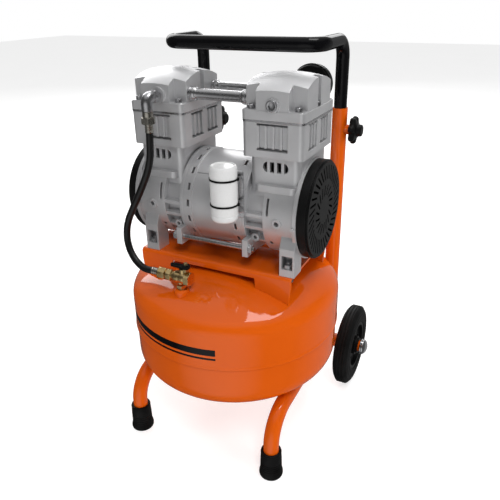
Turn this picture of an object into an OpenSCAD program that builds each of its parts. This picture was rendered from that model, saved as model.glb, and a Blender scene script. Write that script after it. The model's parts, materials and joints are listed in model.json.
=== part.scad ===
// Oil-free air compressor: a twin-cylinder pump with one motor, on a pancake tank with two feet and two wheels.
// Every piece is drawn about the tank's vertical axis, with the floor at z = 0, and placed() then moves it so
// that the origin is in the middle of the footprint.

/* [Tank] */
// Radius of the tank
tank_r = 175; // [160:1:190]
// Height of the top of the dished head above the floor
tank_top = 319; // [316:0.5:322]
// Height of the weld between the two shells
tank_seam = 202; // [190:1:215]
// Height of the lowest point of the tank
tank_bottom = 106; // [104:1:112]
// Thickness of the tank's steel
tank_wall = 2.5; // [2:0.5:4]

/* [Platform] */
// Length of the pump's platform
platform_l = 264.4; // [250:0.2:280]
// Depth of the platform
platform_d = 159; // [150:1:170]
// Height of the top of the platform
platform_z = 329.8; // [327:0.1:335]
// Thickness of the platform's sheet
platform_t = 4; // [3:0.5:5]

/* [Frame] */
// Distance from the middle to the frame tubes
frame_x = 127; // [120:1:132]
// Outer radius of the frame tubes
tube_r = 12.5; // [12:0.5:13.5]
// Bore radius of the uprights
tube_bore_r = 10.5; // [10:0.5:11]
// Distance from the tank's axis forward to the front feet
foot_y = 135.7; // [125:0.1:145]
// Distance from the tank's axis back to the uprights
upright_y = 139; // [137:1:142]
// Height of the top of the uprights
upright_top = 538.7; // [520:0.1:560]

/* [Wheels] */
// Radius of the wheels
wheel_r = 77; // [70:1:80]
// Width of the wheels
wheel_w = 30; // [25:1:34]
// Distance from the middle to the inner face of a wheel
wheel_x = 153; // [150:1:158]
// Distance from the tank's axis back to the axle
axle_y = 156; // [154:1:162]

/* [Handle] */
// Height of the handle's bar when it is pushed in
handle_z = 643.7; // [640:0.1:670]
// Distance from the tank's axis back to the bar
handle_y = 25.4; // [15:0.2:60]
// Height of the clamp knobs
knob_z = 504; // [480:1:515]

/* [Pump] */
// Height of the shaft
shaft_z = 413.9; // [412:0.1:416]
// Distance from the middle to each cylinder's axis
cylinder_x = 93.8; // [93:0.1:95]
// Bore radius of each cylinder
bore_r = 31.75; // [30:0.25:32]
// Throw of each eccentric, half the stroke
throw = 6; // [4:0.5:7]
// Radius of the motor
motor_r = 75; // [74:0.5:76]

/* [Hidden] */

$fn = 64;
eps = 0.01;
fit = 0.05;                 // radial clearance of a running fit

// The tank reaches furthest forward and the wheels furthest back, so the origin is half way between them.
bead_r = 1.6;
tank_reach = tank_r + 0.8;
tank_y = -(axle_y + wheel_r - tank_reach) / 2;

// Colours
orange = [0.90, 0.33, 0.04];
black = [0.05, 0.05, 0.06];
cast = [0.70, 0.70, 0.72];
steel = [0.78, 0.79, 0.80];
brass = [0.80, 0.66, 0.38];
white = [0.95, 0.95, 0.95];
copper = [0.72, 0.42, 0.25];

// Tank heads
top_crown_r = 2 * tank_r;
top_knuckle_r = 10;
bottom_crown_r = 600;
bottom_knuckle_r = 42;
bottom_r = tank_r - 1.5;

// Right half of the platform's flange, seen from the front, from its top edge down and in to the motor's notch
flange_half = [
    [platform_l / 2, 1], [platform_l / 2, -18], [platform_l / 2 - 5, -60], [76.6, -60], [73.5, -11.4]
];

// Frame
leg_bend_r = 50;
leg_run_z = 107;
foot_top = 49;
upright_bottom = 94;
inner_tube_r = tube_bore_r - fit;
inner_tube_bottom = 140;
handle_bend_r = 28;
handle_wall = 2;
knob_y = upright_y;
knob_offset = [24, 20];     // from the left and right tubes' axes to the backs of their knobs
knob_screw_r = 4;
axle_r = 8;
axle_end = 196;
axle_z = wheel_r;
hub_r = 46;

// Pump
block_w = 92.4;
block_d = 122;
block_z = 501.3;
block_top = 550.5;
plate_t = 3;
head_base = block_top + plate_t;
head_flange_top = 566;
head_seat = head_flange_top + 1;
head_top = 611;
head_dome_r = 112;          // front to back
head_crown_r = 214;         // side to side
head_corner = 22;
plug_x = 0.8;
plug_z = 574;
transfer_y = 35;
transfer_z = 577.8;
drum_r = 73;
drum_x = 84;
case_end = 133;
motor_half = 50;
cover_x = 136.7;
cover_end = 153.1;
shaft_r = 8;
bearing_r = 17.5;
bearing_w = 11;
inner_bearing_x = 56;
outer_bearing_x = 121.5;
eccentric_r = 14;
piston_z = 538;
rod_t = 12;
lug_x = [-51, 54.5];        // inner faces of the left and right lugs for the tie rods
lug_w = 9;
lug_z = 364;
lug_y = 75;
foot_x = [-111.5, 124.5];   // middles of the left and right feet
foot_bolt_y = 68;
foot_seat = platform_z + 11.7;

// Capacitor
capacitor_r = 19.8;
capacitor_x = 36;
capacitor_y = -96.2;

// Discharge hose and tank valve
hose_r = 5.5;
elbow_x = -88;
elbow_y = -90;
elbow_z = 577;
hose_top = 528;
valve_x = -28;
valve_y = -125;
valve_z = 320;
lever_x = valve_x + 10;
lever_z = valve_z + 21;
hose_end_x = -80;
hose_route = [
    [elbow_x, elbow_y, hose_top], [-88.5, -91, 508], [-90, -92, 490], [-95, -94, 470], [-104, -97, 448],
    [-114, -100, 427], [-124, -103, 407], [-132, -106, 388], [-135, -109, 370], [-132, -113, 352],
    [-122, -118, 336], [-108, -122, 325], [-94, -125, 320.5], [hose_end_x, valve_y, valve_z]
];

// ---- Helpers ----

// Moves a piece from the tank's axis to the part's own frame
module placed() translate([0, tank_y, 0]) children();

// Mirrors a right-hand piece to the left
module on_left() mirror([1, 0, 0]) children();

// A cylinder along X from x0 to x1
module rod_x(r, x0, x1) translate([x0, 0, 0]) rotate([0, 90, 0]) cylinder(r = r, h = x1 - x0);

// A cylinder along Y from y0 to y1
module rod_y(r, y0, y1) translate([0, y1, 0]) rotate([90, 0, 0]) cylinder(r = r, h = y1 - y0);

// A box given by its lowest and highest corners
module block(low, high) translate(low) cube(high - low);

// A rectangle about the origin with round corners
module round_rect(w, d, r) {
    square([w - 2 * r, d], center = true);
    square([w, d - 2 * r], center = true);
    for (x = [-1, 1], y = [-1, 1]) translate([x * (w / 2 - r), y * (d / 2 - r)]) circle(r);
}

// An upright block with round vertical edges
module round_block(w, d, r, z0, z1) translate([0, 0, z0]) linear_extrude(z1 - z0) round_rect(w, d, r);

// A slot along X with round ends, cut to a depth along Z
module slot(length, width, depth) {
    for (x = [-1, 1]) translate([x * (length - width) / 2, 0, 0]) cylinder(d = width, h = depth);
    translate([-(length - width) / 2, -width / 2, 0]) cube([length - width, width, depth]);
}

// A hexagonal prism along Z, measured across its flats
module hex(flats, h) cylinder(d = flats / cos(30), h = h, $fn = 6);

// ---- Tank ----

// Half outline of a dished head, its crown at the top, down to a depth below the crown
module head_outline(r, crown, knuckle, depth) {
    centre = sqrt(pow(crown - knuckle, 2) - pow(r - knuckle, 2));
    tangent = (r - knuckle) * crown / (crown - knuckle);
    knuckle_y = centre - crown;
    intersection() {
        translate([0, -crown]) circle(crown, $fn = 360);
        translate([0, -depth]) square([tangent, depth]);
    }
    intersection() {
        translate([r - knuckle, knuckle_y]) circle(knuckle);
        translate([r - knuckle, knuckle_y]) square(knuckle);
    }
    translate([0, -depth]) square([r, depth + knuckle_y]);
}

// A pressed shell with its crown at the origin
module dished_shell(r, crown, knuckle, depth) rotate_extrude($fn = 180) difference() {
    head_outline(r, crown, knuckle, depth);
    translate([0, -tank_wall])
        head_outline(r - tank_wall, crown - tank_wall, knuckle - tank_wall, depth + eps);
    translate([-r, -depth - r - eps]) square([2 * r, r + eps]);
}

// The solid inside the top shell's outer surface, used to fit pieces to the dome
module dome() translate([0, 0, tank_top - top_crown_r]) sphere(top_crown_r, $fn = 360);

module tank_top_shell() color(orange) placed() {
    difference() {
        translate([0, 0, tank_top]) dished_shell(tank_r, top_crown_r, top_knuckle_r, tank_top - tank_seam);
        translate([valve_x, valve_y, tank_seam]) cylinder(r = 12, h = tank_top);
    }
    // Creased bead round the shoulder
    rotate_extrude($fn = 180) translate([tank_r - 4.2, tank_top - 45.4]) circle(bead_r);
}

module tank_bottom_shell() color(orange) placed() {
    difference() {
        translate([0, 0, tank_bottom]) mirror([0, 0, 1])
            dished_shell(bottom_r, bottom_crown_r, bottom_knuckle_r, tank_seam - tank_bottom);
        translate([0, 0, tank_bottom - 10]) cylinder(r = 9, h = 30);
    }
    // Weld bead on the seam
    rotate_extrude($fn = 180) translate([tank_r - 0.8, tank_seam - bead_r]) circle(bead_r);
}

module tank_inlet_bung() color(orange) placed() translate([valve_x, valve_y, 0]) difference() {
    union() {
        translate([0, 0, 284]) cylinder(r = 11.9, h = 14);
        translate([0, 0, 298]) cylinder(r1 = 11.9, r2 = 9.5, h = 3);
    }
    translate([0, 0, 280]) cylinder(r = 6.5, h = 30);
}

module tank_drain_plug() color(brass) placed() {
    translate([0, 0, tank_bottom - 2]) cylinder(r = 8.9, h = 14);
    translate([0, 0, tank_bottom - 11]) hex(19, 9);
}

// ---- Platform ----

module motor_platform() color(orange) placed() difference() {
    intersection() {
        // Channel with rolled edges, along X
        translate([-platform_l / 2, 0, platform_z]) rotate([90, 0, 90]) linear_extrude(platform_l) difference() {
            translate([0, -40]) round_rect(platform_d, 80, 6);
            translate([0, -40 - platform_t]) round_rect(platform_d - 2 * platform_t, 80, 2);
        }
        // Outline of the flanges, deep at the ends
        translate([0, platform_d / 2 + 1, platform_z]) rotate([90, 0, 0]) linear_extrude(platform_d + 2)
            polygon(concat(flange_half, [
                for (i = [len(flange_half) - 1 : -1 : 0]) [-flange_half[i][0], flange_half[i][1]]
            ]));
    }
    dome();
    for (x = foot_x, y = [-1, 1]) translate([x, y * foot_bolt_y, platform_z - 10]) cylinder(r = 4.2, h = 20);
}

// ---- Frame ----

module leg_tube() {
    module stretch(r) {
        translate([frame_x, -foot_y, 6]) cylinder(r = r, h = leg_run_z - leg_bend_r - 6);
        translate([frame_x, leg_bend_r - foot_y, leg_run_z - leg_bend_r]) rotate([0, -90, 0])
            rotate_extrude(angle = 90, start = 270) translate([leg_bend_r, 0]) circle(r);
        translate([frame_x, 0, leg_run_z]) rod_y(r, leg_bend_r - foot_y, upright_y);
    }
    difference() {
        stretch(tube_r);
        stretch(tube_r - 2);
        translate([frame_x, upright_y, 0]) cylinder(r = tube_r, h = 200);
        translate([frame_x, upright_y, 50]) cylinder(r = tube_r + 12, h = 30);
    }
}
module leg_tube_left() color(orange) placed() on_left() leg_tube();
module leg_tube_right() color(orange) placed() leg_tube();

// Rubber ferrule on a leg, flared at the floor
module foot_cap() translate([frame_x, -foot_y, 0]) difference() {
    rotate_extrude() polygon([
        [0, 0], [16, 0], [19, 2], [19.5, 6], [17.6, 14], [16.4, foot_top - 2], [15.4, foot_top], [0, foot_top]
    ]);
    translate([0, 0, 5.95]) cylinder(r = tube_r + 0.02, h = foot_top);
}
module foot_cap_left() color(black) placed() on_left() foot_cap();
module foot_cap_right() color(black) placed() foot_cap();

// Socket tube for the handle. The knob's screw enters from +X on both sides.
module upright(x) difference() {
    translate([x, upright_y, upright_bottom]) cylinder(r = tube_r, h = upright_top - upright_bottom);
    translate([x, upright_y, upright_bottom + 8]) cylinder(r = tube_bore_r, h = upright_top);
    translate([x, knob_y, knob_z]) rod_x(knob_screw_r + fit, 0, 20);
}
module upright_left() color(orange) placed() upright(-frame_x);
module upright_right() color(orange) placed() upright(frame_x);

// Threaded bushes welded to the uprights
module clamp_bushes() color(orange) placed() for (i = [0, 1]) translate([(2 * i - 1) * frame_x, knob_y, knob_z])
    difference() {
        rod_x(8, 0, knob_offset[i] - 0.5);
        rod_x(knob_screw_r + fit, -1, knob_offset[i] + 1);
        translate([0, 0, -20]) cylinder(r = tube_r, h = 40);
    }

module axle_brackets() color(orange) placed() for (side = [0, 1]) mirror([side, 0, 0]) difference() {
    union() {
        translate([frame_x, axle_y, axle_z]) rod_x(16, -3, 3);
        translate([frame_x - 3, 0, 0]) rotate([90, 0, 90]) linear_extrude(6) polygon([
            [axle_y - 15.5, axle_z - 4], [upright_y, 96], [upright_y, 128],
            [upright_y + tube_r + 8, 118], [axle_y + 15.8, axle_z + 2]
        ]);
    }
    translate([frame_x, axle_y, axle_z]) rod_x(axle_r, -10, 10);
    translate([frame_x, upright_y, upright_bottom]) cylinder(r = tube_r, h = 50);
}

module axle() color(orange) placed() translate([0, axle_y, axle_z]) {
    rod_x(axle_r, -axle_end, axle_end);
    for (side = [0, 1]) mirror([side, 0, 0]) {
        rod_x(13, frame_x + 3, wheel_x - 1.5);
        rod_x(11, wheel_x + wheel_w + 2.5, wheel_x + wheel_w + 6);
    }
}

module axle_cap() translate([0, axle_y, axle_z]) difference() {
    translate([wheel_x + wheel_w + 6, 0, 0]) rotate([0, 90, 0]) rotate_extrude() {
        intersection() {
            translate([0, 2]) scale([1, 0.72]) circle(15.2);
            square([16, 20]);
        }
        square([15.2, 2]);
    }
    rod_x(axle_r, 0, axle_end);
}
module axle_cap_left() color(steel) placed() on_left() axle_cap();
module axle_cap_right() color(steel) placed() axle_cap();

// ---- Wheels ----

// Solid rubber tyre: flat tread with round shoulders
module tyre() translate([wheel_x, axle_y, axle_z]) rotate([0, 90, 0]) rotate_extrude($fn = 120) difference() {
    shoulder = 7;
    translate([hub_r, 0]) union() {
        square([wheel_r - hub_r - shoulder, wheel_w]);
        translate([0, shoulder]) square([wheel_r - hub_r, wheel_w - 2 * shoulder]);
        for (y = [shoulder, wheel_w - shoulder]) translate([wheel_r - hub_r - shoulder, y]) circle(shoulder);
    }
    for (y = [0, wheel_w]) translate([hub_r + 9, y]) circle(2);
}
module tyre_left() color(black) placed() on_left() tyre();
module tyre_right() color(black) placed() tyre();

module wheel_hub() translate([wheel_x, axle_y, axle_z]) difference() {
    union() {
        rod_x(hub_r, 2, wheel_w - 2);
        rod_x(15, -1, wheel_w + 2);
    }
    // Dished on both faces, between the rim and the boss
    for (x = [-2, wheel_w - 9]) difference() {
        rod_x(hub_r - 5, x, x + 11);
        rod_x(18, x - 1, x + 12);
    }
    for (a = [0 : 60 : 300]) rotate([a, 0, 0]) translate([0, 29, 0]) rod_x(6, 0, wheel_w);
    rod_x(axle_r + fit, -2, wheel_w + 4);
}
module wheel_hub_left() color(black) placed() on_left() wheel_hub();
module wheel_hub_right() color(black) placed() wheel_hub();

// ---- Handle ----

// Half of the bent tube, from the bar's middle to the bottom of the right leg
module handle_half(r) {
    corner_y = handle_y + handle_bend_r;
    translate([0, handle_y, handle_z]) rod_x(r, 0, frame_x - handle_bend_r);
    translate([frame_x - handle_bend_r, corner_y, handle_z])
        rotate_extrude(angle = 90, start = 270) translate([handle_bend_r, 0]) circle(r);
    translate([frame_x, 0, handle_z]) rod_y(r, corner_y, upright_y - handle_bend_r);
    translate([frame_x, upright_y - handle_bend_r, handle_z - handle_bend_r]) rotate([0, -90, 0])
        rotate_extrude(angle = 90, start = 0) translate([handle_bend_r, 0]) circle(r);
    translate([frame_x, upright_y, inner_tube_bottom])
        cylinder(r = r, h = handle_z - handle_bend_r - inner_tube_bottom);
}

module handle() color(black) placed() difference() {
    for (side = [0, 1]) mirror([side, 0, 0]) handle_half(inner_tube_r);
    for (side = [0, 1]) mirror([side, 0, 0]) {
        handle_half(inner_tube_r - handle_wall);
        translate([frame_x, upright_y, inner_tube_bottom - 1]) cylinder(r = inner_tube_r - handle_wall, h = 2);
    }
}

// Star knob with its screw, its back at an offset from the tube's axis
module clamp_knob(x, offset) translate([x, knob_y, knob_z]) {
    knob_r = 23;
    lobes = 7;
    rod_x(knob_screw_r, inner_tube_r + 0.3, offset + 4);
    difference() {
        rod_x(knob_r, offset, offset + 10);
        for (i = [0 : lobes - 1]) rotate([i * 360 / lobes, 0, 0]) translate([0, knob_r + 2, 0])
            rod_x(5.5, offset - 1, offset + 11);
    }
    rod_x(10, offset + 9, offset + 19);
}
module clamp_knob_left() color(black) placed() clamp_knob(-frame_x, knob_offset[0]);
module clamp_knob_right() color(black) placed() clamp_knob(frame_x, knob_offset[1]);

// ---- Motor ----

module motor_shell() color(cast) placed() translate([0, 0, shaft_z]) difference() {
    union() {
        rod_x(motor_r - 1.5, -motor_half, motor_half);
        for (side = [0, 1]) mirror([side, 0, 0]) rod_x(motor_r, 34, motor_half);
    }
    rod_x(motor_r - 7, -motor_half - 1, motor_half + 1);
    // Cooling slots round both ends
    for (side = [0, 1], a = [5 : 20 : 345]) mirror([side, 0, 0]) rotate([a, 0, 0])
        translate([38, -5.5, motor_r - 10]) cube([4, 11, 20]);
    // Joint line of the two half shells
    for (a = [-43, 137]) rotate([a, 0, 0]) translate([-33, motor_r - 3, -0.8]) cube([66, 4, 1.6]);
}

module stator() color(copper) placed() translate([0, 0, shaft_z]) difference() {
    union() {
        rod_x(motor_r - 7.05, -34, 34);
        rod_x(62, -46, 46);
    }
    rod_x(38.6, -50, 50);
}

module rotor() color(steel) placed() translate([0, 0, shaft_z]) difference() {
    rod_x(38, -35, 35);
    rod_x(shaft_r, -36, 36);
}

module motor_shaft() color(steel) placed() translate([0, 0, shaft_z]) rod_x(shaft_r, -147, 147);

module shaft_bearings() color(steel) placed() translate([0, 0, shaft_z])
    for (side = [0, 1], x = [inner_bearing_x, outer_bearing_x]) mirror([side, 0, 0]) difference() {
        rod_x(bearing_r, x, x + bearing_w);
        rod_x(shaft_r + fit, x - 1, x + bearing_w + 1);
    }

// Eccentric with its counterweight. The throws point opposite ways, so one piston rises as the other falls.
module crank(throw_side) translate([cylinder_x, 0, shaft_z]) difference() {
    union() {
        translate([0, throw_side * throw, 0]) rod_x(eccentric_r, -rod_t / 2, rod_t / 2);
        rod_x(11.5, -25, 25);
        intersection() {
            rod_x(34, 8, 16);
            translate([0, -throw_side * 40, 0]) cube([60, 60, 80], center = true);
        }
    }
    rod_x(shaft_r, -30, 30);
}
module crank_left() color(steel) placed() on_left() crank(1);
module crank_right() color(steel) placed() crank(-1);

// Cooling fan on the shaft's end
module fan() translate([138.2, 0, shaft_z]) difference() {
    union() {
        rod_x(14, 0, 10);
        rod_x(66, 0, 1.6);
        for (a = [0 : 30 : 330]) rotate([a, 0, 0]) translate([0, 12, 0]) rotate([8, 0, 0]) cube([9, 52, 2]);
    }
    rod_x(shaft_r, -1, 12);
}
module fan_left() color(black) placed() on_left() fan();
module fan_right() color(black) placed() fan();

// Round cover over a fan, with two rings of slanted slots
module fan_cover() translate([0, 0, shaft_z]) difference() {
    union() {
        rod_x(motor_r, cover_x, cover_end - 3);
        rod_x(motor_r - 3, cover_x, cover_end);
    }
    rod_x(motor_r - 4, cover_x - 1, cover_end - 3.2);
    for (a = [0 : 10 : 350]) rotate([a, 0, 0]) translate([cover_x, 46, 0]) rotate([28, 0, 0])
        translate([0, 0, -1.7]) cube([30, 23, 3.4]);
    for (a = [0 : 20 : 340]) rotate([a, 0, 0]) translate([cover_x, 22, 0]) rotate([-28, 0, 0])
        translate([0, 0, -1.7]) cube([30, 17, 3.4]);
}
module fan_cover_left() color(black) placed() on_left() fan_cover();
module fan_cover_right() color(black) placed() fan_cover();

// ---- Crankcases ----

module crankcase(foot, lug) {
    neck_w = 76;
    neck_d = 110;
    grille_x = cylinder_x + 3;
    difference() {
        union() {
            translate([0, 0, shaft_z]) {
                rod_x(drum_r, drum_x, case_end);
                rod_x(motor_r + 2, case_end - 2, cover_x);
                rod_x(62, motor_half, drum_x + 1);
                rod_x(motor_r, motor_half, motor_half + 5);
                // Ribs between the flange and the drum
                for (a = [-34, -14, 2, 178, 194, 214]) rotate([a, 0, 0])
                    translate([motor_half, 50, -2.5]) cube([drum_x - motor_half + 1, 22, 5]);
            }
            // Neck under the cylinder, with its ledge
            translate([cylinder_x + 1.2, 0, 0]) round_block(neck_w, neck_d, 9, shaft_z, block_z);
            translate([98.5, 0, 0]) round_block(65, neck_d + 16, 9, 452, 462);
            for (side = [0, 1]) mirror([0, side, 0]) {
                // Foot with a window over its bolt
                translate([foot - 11.8, 0, 0]) rotate([90, 0, 90]) linear_extrude(23.6)
                    polygon([[48, platform_z], [76, platform_z], [76, 374], [69, 391], [48, 391]]);
                // Lug for the tie rod
                block([lug, 32, lug_z - 12], [lug + lug_w, lug_y + 6, lug_z + 15]);
                // Screw bosses on the drum and the hub
                translate([106.5, 66, 410]) rod_y(7.5, -9, 9);
                translate([67.5, 60, 378]) rod_y(6.5, -20, 2.5);
                translate([132.5, 76, 407]) rod_y(3, -4, 3.5);
            }
        }
        translate([0, 0, shaft_z]) {
            rod_x(bearing_r, motor_half - 1, case_end + 10);
            rod_x(57, 70, 90);
            rod_x(66, drum_x + 4, 119);
            rod_x(motor_r - 5, case_end, cover_x + 1);
        }
        translate([cylinder_x + 1.2, 0, 0]) round_block(neck_w - 12, neck_d - 12, 4, shaft_z + 20, block_z - 7);
        translate([cylinder_x, 0, shaft_z + 26]) cylinder(r = 35, h = 100);
        for (side = [0, 1]) mirror([0, side, 0]) {
            block([foot - 8.5, 59, foot_seat], [foot + 8.5, 93, 363]);
            translate([foot, foot_bolt_y, platform_z - 1]) cylinder(r = 4.2, h = 20);
            translate([0, lug_y, lug_z]) rod_x(4 + fit, lug - 1, lug + lug_w + 1);
            translate([106.5, 66, 410]) rod_y(3.6, 0, 20);
            translate([67.5, 60, 378]) rod_y(2.8, -6, 10);
            translate([94, 66, 374]) rod_y(2.6, -20, 20);
            // Upright slot in the drum
            translate([91, 70, 432]) cube([3.6, 20, 25], center = true);
            // Grille of four openings in the neck
            difference() {
                translate([grille_x, 65, 487]) rotate([90, 0, 0]) slot(39, 15, 20);
                for (x = [-10.8, 0, 10.8]) translate([grille_x + x, 55, 487]) cube([4.2, 30, 20], center = true);
            }
        }
    }
}
module crankcase_left() color(cast) placed() on_left() crankcase(-foot_x[0], -lug_x[0]);
module crankcase_right() color(cast) placed() crankcase(foot_x[1], lug_x[1]);

// ---- Cylinders and heads ----

// Upright fins in a face in the XZ plane, with y = 0 at the face: deep slots over and under a row of grooves
module fin_window(w, bars) {
    bar_w = 3.2;
    pitch = w / bars;
    z0 = block_z + 10;
    z1 = block_top - 1.5;
    for (z = [z0, z1 - 3.4]) translate([-w / 2, -1, z]) cube([w, 13, 3.4]);
    for (i = [0 : bars - 1]) translate([-w / 2 + i * pitch + bar_w, -1, z0 + 1])
        cube([pitch - bar_w, 5, z1 - z0 - 2]);
}

module cylinder_block() translate([cylinder_x, 0, 0]) difference() {
    round_block(block_w, block_d, 7, block_z, block_top);
    translate([0, 0, block_z - 1]) cylinder(r = bore_r + 2.3, h = 60);
    for (turn = [0, 180]) rotate([0, 0, turn]) {
        translate([0, -block_d / 2, 0]) fin_window(46, 4);
        for (y = [-21, 25]) translate([-block_w / 2, y, 0]) rotate([0, 0, -90]) fin_window(34, 3);
    }
}
module cylinder_block_left() color(cast) placed() on_left() cylinder_block();
module cylinder_block_right() color(cast) placed() cylinder_block();

module cylinder_liner() translate([cylinder_x, 0, 0]) difference() {
    translate([0, 0, block_z - 6]) cylinder(r = bore_r + 2.25, h = block_top - block_z + 6);
    translate([0, 0, block_z - 7]) cylinder(r = bore_r, h = 70);
}
module cylinder_liner_left() color(steel) placed() on_left() cylinder_liner();
module cylinder_liner_right() color(steel) placed() cylinder_liner();

// Piston and rod in one piece. The big end is left long, because the rod's swing is not modelled.
module piston() translate([cylinder_x, 0, 0]) {
    big_r = throw + eccentric_r + 0.6;
    translate([0, 0, piston_z - 9]) cylinder(r = bore_r - fit, h = 9);
    difference() {
        union() {
            translate([-4, -8, shaft_z + 28]) cube([8, 16, piston_z - 9 - shaft_z - 28]);
            for (z = [-throw, throw]) translate([0, 0, shaft_z + z]) rod_x(big_r + 6, -rod_t / 2, rod_t / 2);
            translate([-rod_t / 2, -big_r - 6, shaft_z - throw]) cube([rod_t, 2 * big_r + 12, 2 * throw]);
        }
        for (z = [-throw, throw]) translate([0, 0, shaft_z + z]) rod_x(big_r, -rod_t, rod_t);
        translate([-rod_t, -big_r, shaft_z - throw]) cube([2 * rod_t, 2 * big_r, 2 * throw]);
    }
}
module piston_left() color(steel) placed() on_left() piston();
module piston_right() color(steel) placed() piston();

// Plate with one suction and one delivery port
module valve_plate() translate([cylinder_x, 0, 0]) difference() {
    round_block(block_w + 1.4, block_d + 1, 7, block_top, head_base);
    for (y = [-14, 14]) translate([0, y, block_top - 1]) cylinder(r = 6, h = 5);
}
module valve_plate_left() color(steel) placed() on_left() valve_plate();
module valve_plate_right() color(steel) placed() valve_plate();

bolt_places = [for (x = [-1, 1], y = [-1, 1]) [x * 35, y * 52.5], [-42, 0], [42, 0]];

// The crown is a barrel along X
module head(port_x, port_z, boss_r) translate([cylinder_x, 0, 0]) difference() {
    union() {
        round_block(block_w + 1.4, block_d + 1, 7, head_base, head_flange_top);
        intersection() {
            round_block(block_w - 2, block_d - 1, 6, head_flange_top - 1, head_top + 1);
            translate([0, 0, head_top - head_dome_r]) rotate([0, 90, 0]) rotate_extrude($fn = 360)
                intersection() {
                    translate([head_dome_r - head_crown_r, 0]) circle(head_crown_r, $fn = 720);
                    translate([0, -60]) square([head_dome_r + 1, 120]);
                }
        }
        translate([port_x, 0, port_z]) rod_y(boss_r, -block_d / 2 - 3, 10 - block_d / 2);
    }
    // Bolt recesses: open corners, and a notch in the middle of each side
    for (x = [-1, 1]) {
        for (y = [-1, 1])
            translate([x * (block_w / 2 - head_corner / 2 + 1), y * (block_d / 2 - 6.5), head_seat + 23])
                cube([head_corner + 2, 17, 46], center = true);
        translate([x * 45.2, 0, head_seat + 23]) cube([18, 12, 46], center = true);
    }
    // Suction and delivery chambers
    for (y = [-1, 1]) block([-26, y * 20 - 17, head_base - 1], [26, y * 20 + 17, 582]);
    for (b = bolt_places) translate([b[0], b[1], head_base - 1]) cylinder(r = 3.1, h = 20);
    // Front port and the two transfer ports
    translate([port_x, 0, port_z]) rod_y(6.5, -70, -30);
    for (y = [-1, 1]) translate([-50, y * transfer_y, transfer_z]) rod_x(5.2, -2, 30);
}
module head_left() color(cast) placed() on_left() head(-elbow_x - cylinder_x, elbow_z, 12);
module head_right() color(cast) placed() head(plug_x, plug_z, 9.5);

module head_bolts() color(steel) placed() for (side = [-1, 1], b = bolt_places)
    translate([side * (cylinder_x + b[0]), b[1], head_seat]) difference() {
        union() {
            translate([0, 0, -11]) cylinder(r = 3, h = 12);
            cylinder(r = 5, h = 6);
        }
        translate([0, 0, 3]) hex(5, 4);
    }

// Tube between the heads, with a collar that tapers down to it at each end
module transfer_tube(y) translate([0, y, transfer_z]) {
    end = cylinder_x - block_w / 2 + 1;
    difference() {
        union() {
            rod_x(8, -end, end);
            for (side = [0, 1]) mirror([side, 0, 0]) {
                rod_x(10.5, end - 7, end);
                translate([end - 10, 0, 0]) rotate([0, 90, 0]) cylinder(r1 = 8, r2 = 10.5, h = 3);
            }
        }
        rod_x(5, -end - 1, end + 1);
    }
}
module transfer_tube_front() color(steel) placed() transfer_tube(-transfer_y);
module transfer_tube_rear() color(steel) placed() transfer_tube(transfer_y);

module tie_rods() color(steel) placed() for (y = [-lug_y, lug_y]) translate([0, y, lug_z]) {
    rod_x(4, lug_x[0] - lug_w - 9, lug_x[1] + lug_w + 9);
    translate([lug_x[1] + lug_w, 0, 0]) rotate([0, 90, 0]) hex(13, 6.5);
    translate([lug_x[0] - lug_w, 0, 0]) rotate([0, -90, 0]) hex(13, 6.5);
}

module mounting_bolts() color(steel) placed() for (x = foot_x, y = [-foot_bolt_y, foot_bolt_y])
    translate([x, y, platform_z]) {
        translate([0, 0, -9]) cylinder(r = 4, h = 30);
        translate([0, 0, foot_seat - platform_z]) hex(13, 6.8);
        translate([0, 0, -10.5]) hex(13, 6);
    }

// ---- Capacitor, filter and air line ----

module capacitor() color(white) placed() translate([capacitor_x, capacitor_y, 414.8]) rotate_extrude() {
    square([capacitor_r - 4, 80.6]);
    translate([0, 4]) square([capacitor_r, 80.6 - 5.5]);
    translate([capacitor_r - 4, 4]) circle(4);
    translate([0, 1.5]) square([capacitor_r - 1.5, 78]);
}

// Plate against the motor, with two straps round the capacitor
module capacitor_bracket() color(steel) placed() difference() {
    union() {
        block([20, -76.2, 408], [56, -74, 483]);
        for (z = [437.5, 475]) {
            translate([capacitor_x, capacitor_y, z]) cylinder(r = capacitor_r + 1, h = 3);
            block([capacitor_x - 9, -79, z], [capacitor_x + 9, -75, z + 3]);
        }
    }
    translate([capacitor_x, capacitor_y, 390]) cylinder(r = capacitor_r + fit, h = 120);
    translate([0, 0, shaft_z]) rod_x(motor_r, -60, 60);
}

module air_filter() color(black) placed() translate([100, 0, 583]) {
    rod_y(29, 66, 92);
    rod_y(31, 72, 76);
    rod_y(26, 92, 96);
    rod_y(9, 60.5, 66);
}

// Socket plug in the spare port of the right head
module head_plug() color(steel) placed() translate([cylinder_x + plug_x, 0, plug_z]) difference() {
    union() {
        rod_y(6.4, -65, -50);
        rod_y(8, -66.2, -64);
    }
    translate([0, -62, 0]) rotate([90, 0, 0]) hex(8, 10);
}

// Elbow from the left head's port down to the hose
module outlet_elbow() color(steel) placed() translate([elbow_x, elbow_y, elbow_z]) difference() {
    union() {
        rod_y(6.4, 0, 40);
        translate([0, 22, 0]) rotate([90, 0, 0]) hex(17, 9);
        sphere(8.6);
        translate([0, 0, -18]) cylinder(r = 8.6, h = 18);
        rod_y(8.6, 0, 13);
    }
    translate([0, 0, -30]) cylinder(r = 3, h = 31);
    rod_y(3, -1, 50);
}

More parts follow.
